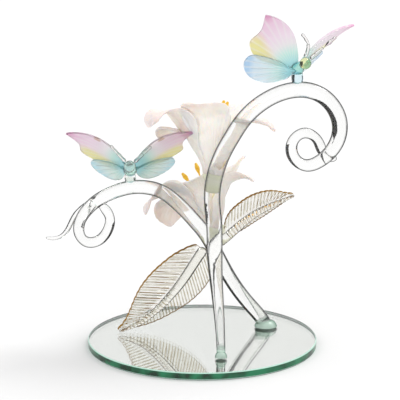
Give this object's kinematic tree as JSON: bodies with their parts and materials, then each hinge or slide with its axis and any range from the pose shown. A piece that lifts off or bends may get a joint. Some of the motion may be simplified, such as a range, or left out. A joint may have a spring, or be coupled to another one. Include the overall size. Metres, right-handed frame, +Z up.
{
  "type": "glass butterfly ornament",
  "caption": "Lampworked glass ornament: butterflies on curled clear glass stems with porcelain lilies and pressed leaves, standing on a round mirror base; a free-standing shelf figurine",
  "frame": {"origin": "centre of the mirror's underside, where the ornament rests", "axes": "+Z up, +X to the viewer's right in the picture, +Y away from the viewer"},
  "size_m": [0.1688, 0.127, 0.1867],
  "materials": {
    "mirror_glass": "polished clear float glass with a faint green edge",
    "mirror_backing": "silvered and painted behind the glass",
    "clear_rod_glass": "fire-polished clear borosilicate rod",
    "leaf_rod_glass": "fire-polished clear rod with a gold tint near the leaf tip",
    "leaf_glass": "pressed clear glass with gilded scalloped edges",
    "white_porcelain": "translucent white porcelain, blushed pink at the tips",
    "green_porcelain": "pale green glazed porcelain",
    "yellow_glaze": "yellow glazed porcelain",
    "tinted_wing_glass": "pressed glass sprayed pink, lilac, yellow and blue",
    "bead_glass": "clear glass bead, fire-polished",
    "antenna_glass": "drawn clear glass",
    "turquoise_glass": "turquoise tinted glass"
  },
  "bodies": {
    "root": {"arched_stem": "clear_rod_glass", "base_mirror_backing": "mirror_backing", "base_mirror_glass": "mirror_glass", "left_butterfly_antennae": "antenna_glass", "left_butterfly_bead": "bead_glass", "left_butterfly_body": "turquoise_glass", "left_butterfly_head": "bead_glass", "left_butterfly_left_forewing": "tinted_wing_glass", "left_butterfly_left_hindwing": "tinted_wing_glass", "left_butterfly_right_forewing": "tinted_wing_glass", "left_butterfly_right_hindwing": "tinted_wing_glass", "left_leaf_blade": "leaf_glass", "left_leaf_rod": "leaf_rod_glass", "lower_lily_back_petal": "white_porcelain", "lower_lily_calyx": "green_porcelain", "lower_lily_front_petal": "white_porcelain", "lower_lily_left_back_petal": "white_porcelain", "lower_lily_left_petal": "white_porcelain", "lower_lily_right_back_petal": "white_porcelain", "lower_lily_right_petal": "white_porcelain", "lower_lily_stamens": "yellow_glaze", "right_butterfly_antennae": "antenna_glass", "right_butterfly_bead": "bead_glass", "right_butterfly_body": "turquoise_glass", "right_butterfly_head": "bead_glass", "right_butterfly_left_forewing": "tinted_wing_glass", "right_butterfly_left_hindwing": "tinted_wing_glass", "right_butterfly_right_forewing": "tinted_wing_glass", "right_butterfly_right_hindwing": "tinted_wing_glass", "right_leaf_blade": "leaf_glass", "right_leaf_rod": "leaf_rod_glass", "tall_stem": "clear_rod_glass", "upper_lily_back_petal": "white_porcelain", "upper_lily_calyx": "green_porcelain", "upper_lily_front_petal": "white_porcelain", "upper_lily_left_back_petal": "white_porcelain", "upper_lily_left_petal": "white_porcelain", "upper_lily_right_back_petal": "white_porcelain", "upper_lily_right_petal": "white_porcelain", "upper_lily_stamens": "yellow_glaze"}
  },
  "joints": []
}
